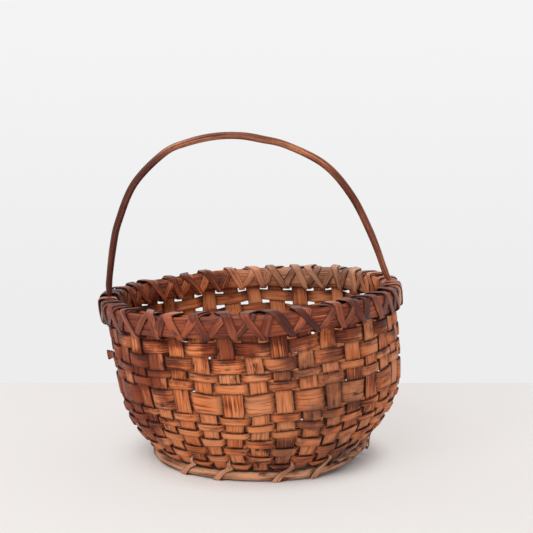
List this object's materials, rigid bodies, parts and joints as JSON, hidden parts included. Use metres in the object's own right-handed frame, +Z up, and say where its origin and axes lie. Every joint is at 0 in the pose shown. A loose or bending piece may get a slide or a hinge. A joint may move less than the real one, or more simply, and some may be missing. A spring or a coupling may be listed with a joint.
{
  "type": "berry basket",
  "caption": "Round woven splint basket with a lashed rim, a fixed bow handle and a foot hoop, for berries and other small things.",
  "frame": {"origin": "middle of the basket's bounding box, on the surface it stands on", "axes": "+Z up, +X towards the handle's right foot, -Y towards the front"},
  "size_m": [0.2326, 0.223, 0.2472],
  "materials": {
    "splint": "bare aged splint with fine grain",
    "weaver": "bare aged splint with fine grain and dark stains",
    "hoop": "dark handled wood with a dull sheen",
    "lashing": "dark thin splint with a dull sheen",
    "handle": "dark handled wood, smooth from use",
    "foot": "worn greyish wood"
  },
  "bodies": {
    "root": {"splint_long_1": "splint", "splint_cross_1": "splint", "splint_long_2": "splint", "splint_cross_2": "splint", "splint_long_3": "splint", "splint_cross_3": "splint", "splint_long_4": "splint", "splint_cross_4": "splint", "splint_long_5": "splint", "splint_cross_5": "splint", "splint_long_6": "splint", "splint_cross_6": "splint", "splint_long_7": "splint", "splint_cross_7": "splint", "splint_long_8": "splint", "splint_cross_8": "splint", "splint_long_9": "splint", "splint_cross_9": "splint", "weaver_1": "weaver", "weaver_2": "weaver", "weaver_3": "weaver", "weaver_4": "weaver", "weaver_5": "weaver", "weaver_6": "weaver", "weaver_7": "weaver", "weaver_8": "weaver", "weaver_9": "weaver", "weaver_10": "weaver", "weaver_11": "weaver", "weaver_12": "weaver", "rim_row": "weaver", "rim_hoop_outer": "hoop", "rim_hoop_inner": "hoop", "rim_lashing_under_back": "lashing", "rim_lashing_under_front": "lashing", "rim_lashing_over_back": "lashing", "rim_lashing_over_front": "lashing", "handle": "handle", "foot_hoop": "foot", "foot_tie_1": "foot", "foot_tie_2": "foot", "foot_tie_3": "foot", "foot_tie_4": "foot", "foot_tie_5": "foot", "foot_tie_6": "foot", "foot_tie_7": "foot", "foot_tie_8": "foot", "foot_tie_9": "foot"}
  },
  "joints": []
}
